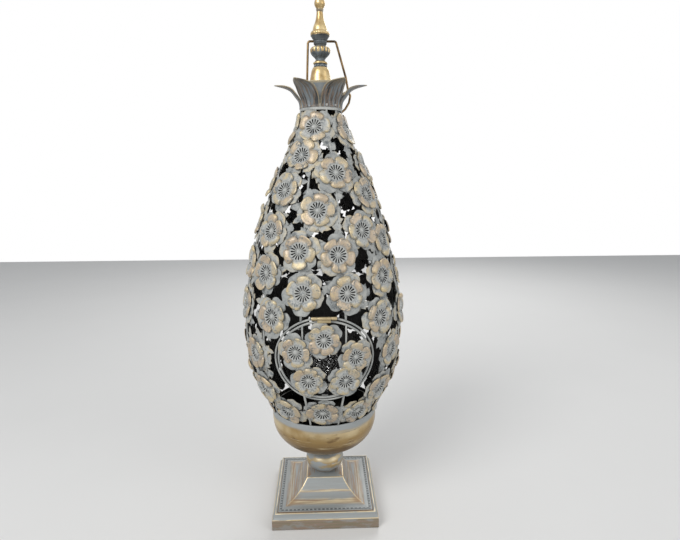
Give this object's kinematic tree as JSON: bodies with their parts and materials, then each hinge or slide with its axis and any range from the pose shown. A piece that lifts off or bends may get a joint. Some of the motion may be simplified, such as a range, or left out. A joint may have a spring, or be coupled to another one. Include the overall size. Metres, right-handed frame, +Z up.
{
  "type": "lantern lamp",
  "caption": "Lantern lamp: an egg-shaped cage of welded metal blossoms with a round hinged door, on a cup and square stepped foot, under a leaf crown, wire bail and finial.",
  "frame": {"origin": "middle of the underside of the square foot", "axes": "+Z up through the finial, -Y towards the viewer and the door, +X to the viewer's right"},
  "size_m": [0.3113, 0.3099, 0.952],
  "materials": {
    "patinated_metal": "blue-grey paint rubbed with gold",
    "blossom_grey": "matt blue-grey paint, worn edges",
    "blossom_champagne": "champagne gold paint over grey",
    "frame_wire": "pale grey paint",
    "antique_gold": "antique gold, darkened in the grooves",
    "bronze_wire": "dark bronze",
    "plated_steel": "zinc plated",
    "cast_weight": "rough",
    "felt": "felt",
    "board": "hardboard",
    "rubber": "matt",
    "holder_black": "matt",
    "bulb_glass": "clear"
  },
  "bodies": {
    "lamp": {"foot": "patinated_metal", "foot_cover": "board", "felt_pad": "felt", "foot_weight": "cast_weight", "tube_nut_low": "plated_steel", "cable_grommet": "rubber", "centre_tube": "plated_steel", "neck_ring": "patinated_metal", "ball_knop": "patinated_metal", "cup": "patinated_metal", "cup_nut": "plated_steel", "cage_band": "frame_wire", "foot_cross": "plated_steel", "cross_nut": "plated_steel", "cage_ribs": "frame_wire", "top_collar": "frame_wire", "top_cross": "plated_steel", "bloom_backs_low": "blossom_grey", "bloom_backs_wide": "blossom_grey", "bloom_backs_shoulder": "blossom_grey", "bloom_backs_high": "blossom_grey", "bloom_backs_top": "blossom_grey", "bloom_tops_low": "blossom_champagne", "bloom_tops_wide": "blossom_champagne", "bloom_tops_shoulder": "blossom_champagne", "bloom_tops_high": "blossom_champagne", "bloom_tops_top": "blossom_champagne", "gap_leaves": "blossom_grey", "door_frame_ring": "frame_wire", "hinge_pin": "antique_gold", "hinge_knuckles_cage": "antique_gold", "door_catch": "frame_wire", "crown_petals": "patinated_metal", "crown_cup": "patinated_metal", "finial_rod": "plated_steel", "finial_nut": "plated_steel", "dome_cap": "antique_gold", "beaded_collar": "antique_gold", "lower_neck": "antique_gold", "lobed_ball": "antique_gold", "upper_neck": "antique_gold", "flange_cup": "antique_gold", "finial_vase": "antique_gold", "finial_knob": "antique_gold", "holder_cap": "holder_black", "holder_insert": "holder_black", "holder_shell": "holder_black", "bulb_cap": "plated_steel", "bulb_glass": "bulb_glass"},
    "door": {"door_ring": "frame_wire", "door_ribs": "frame_wire", "door_bloom_backs": "blossom_grey", "door_bloom_tops": "blossom_champagne", "hinge_knuckle_door": "antique_gold"},
    "bail": {"bail_handle": "bronze_wire"}
  },
  "joints": [
    {"name": "door_hinge", "type": "hinge", "parent": "lamp", "child": "door", "pos_m": [0.0013, -0.1472, 0.4235], "axis": [-1, 0, 0], "range_deg": [0, 85]},
    {"name": "bail_swing", "type": "hinge", "parent": "lamp", "child": "bail", "pos_m": [0, 0.024, 0.765], "axis": [-1, 0, 0], "range_deg": [0, 5]}
  ]
}
